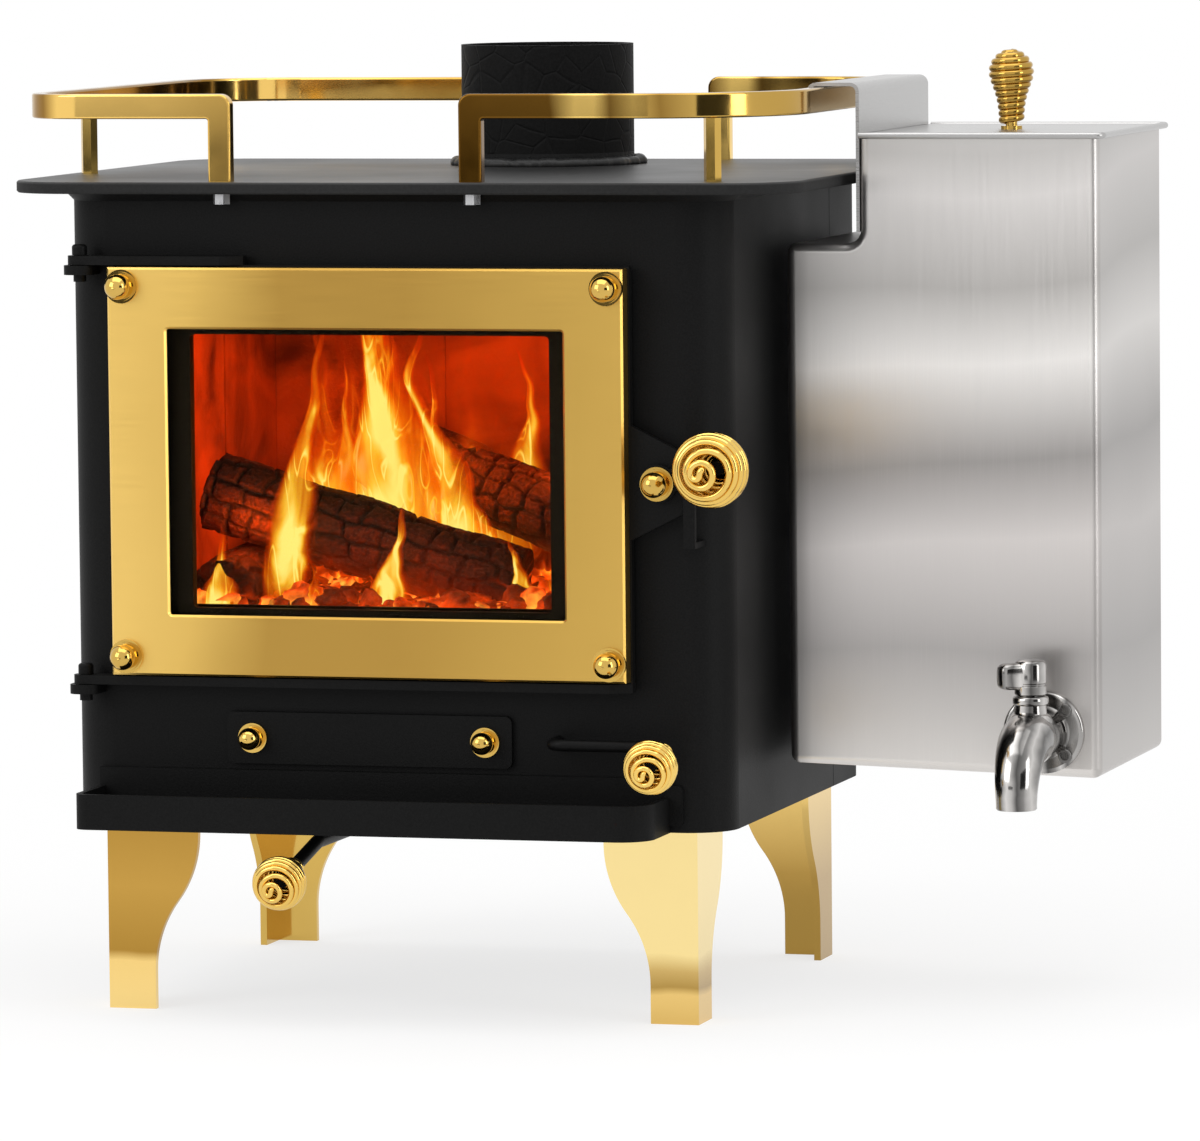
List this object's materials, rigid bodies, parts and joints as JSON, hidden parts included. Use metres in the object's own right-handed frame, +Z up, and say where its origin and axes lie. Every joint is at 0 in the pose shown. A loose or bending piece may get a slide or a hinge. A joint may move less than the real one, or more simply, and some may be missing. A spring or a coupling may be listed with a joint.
{
  "type": "wood stove",
  "caption": "Small black steel wood stove with brass trim, legs and rails, a glazed hinged door with coil handles, air controls and a hanging steel water tank with tap.",
  "frame": {"origin": "middle of the bounding box at the level of the feet", "axes": "+Z up, -Y the door side, +X the water tank side"},
  "size_m": [0.4612, 0.3036, 0.408],
  "materials": {
    "black_paint": "satin",
    "polished_brass": "polished",
    "plated_steel": "satin",
    "stainless_sheet": "brushed",
    "polished_tap": "polished",
    "glass_rope": "matte",
    "firebrick": "matte",
    "clear_glass": "polished",
    "embers": "matte",
    "charred_wood": "matte"
  },
  "bodies": {
    "stove": {"firebox_shell": "black_paint", "rear_shell": "black_paint", "base_plate": "black_paint", "cooktop_plate": "black_paint", "flue_collar": "black_paint", "left_rail": "polished_brass", "right_rail": "polished_brass", "rail_posts": "polished_brass", "rail_screws": "plated_steel", "ash_shelf": "black_paint", "leg_bolts": "plated_steel", "hinge_lugs": "black_paint", "hinge_pins": "plated_steel", "latch_keeper": "black_paint", "air_cover_plate": "black_paint", "air_cover_nuts": "polished_brass", "floor_plate": "black_paint", "floor_brick": "firebrick", "side_bricks": "firebrick", "rear_brick": "firebrick", "baffle_plate": "black_paint", "log_guard": "black_paint", "air_box": "black_paint", "damper_guides": "black_paint", "ember_bed": "embers", "firewood": "charred_wood", "leg_front_left": "polished_brass", "leg_front_right": "polished_brass", "leg_rear_left": "polished_brass", "leg_rear_right": "polished_brass"},
    "door": {"door_frame": "black_paint", "upper_strap": "black_paint", "lower_strap": "black_paint", "door_trim": "polished_brass", "trim_nuts": "polished_brass", "door_glass": "clear_glass", "glass_gasket": "glass_rope", "glass_retainer": "plated_steel", "door_gasket": "glass_rope", "latch_bolt": "plated_steel", "latch_nut": "polished_brass"},
    "latch": {"latch_lever": "black_paint", "door_handle_coil": "polished_brass"},
    "primary_air": {"primary_crank": "black_paint", "primary_flap": "black_paint", "primary_handle_coil": "polished_brass"},
    "secondary_air": {"secondary_rod": "black_paint", "secondary_damper": "black_paint", "secondary_handle_coil": "polished_brass"},
    "tank": {"tank_shell": "stainless_sheet", "tank_hook": "stainless_sheet", "tap_body": "polished_tap", "tap_screws": "plated_steel", "tap_backnut": "plated_steel"},
    "lid": {"tank_lid": "stainless_sheet", "lid_knob_coil": "polished_brass", "knob_stud": "polished_brass"},
    "tap_valve": {"tap_handle": "polished_tap", "tap_plug": "polished_tap"}
  },
  "joints": [
    {"name": "door_hinge", "type": "hinge", "parent": "stove", "child": "door", "pos_m": [-0.1961, -0.10773, 0.2325], "axis": [0, 0, -1], "range_deg": [0, 120]},
    {"name": "latch_turn", "type": "hinge", "parent": "door", "child": "latch", "pos_m": [0.0585, -0.10953, 0.2295], "axis": [0, 1, 0], "range_deg": [0, 50]},
    {"name": "primary_air_turn", "type": "hinge", "parent": "stove", "child": "primary_air", "pos_m": [0.0114, -0.10073, 0.1195], "axis": [0, -1, 0], "range_deg": [0, 25]},
    {"name": "secondary_air_pull", "type": "slide", "parent": "stove", "child": "secondary_air", "axis": [0, -1, 0], "range_m": [0, 0.03]},
    {"name": "tank_lift", "type": "slide", "parent": "stove", "child": "tank", "axis": [0, 0, 1], "range_m": [0, 0.015]},
    {"name": "lid_lift", "type": "slide", "parent": "tank", "child": "lid", "axis": [0, 0, 1], "range_m": [0, 0.04]},
    {"name": "tap_turn", "type": "hinge", "parent": "tank", "child": "tap_valve", "pos_m": [0.2029, -0.04803, 0.119], "axis": [0, 0, 1], "range_deg": [0, 90]}
  ]
}
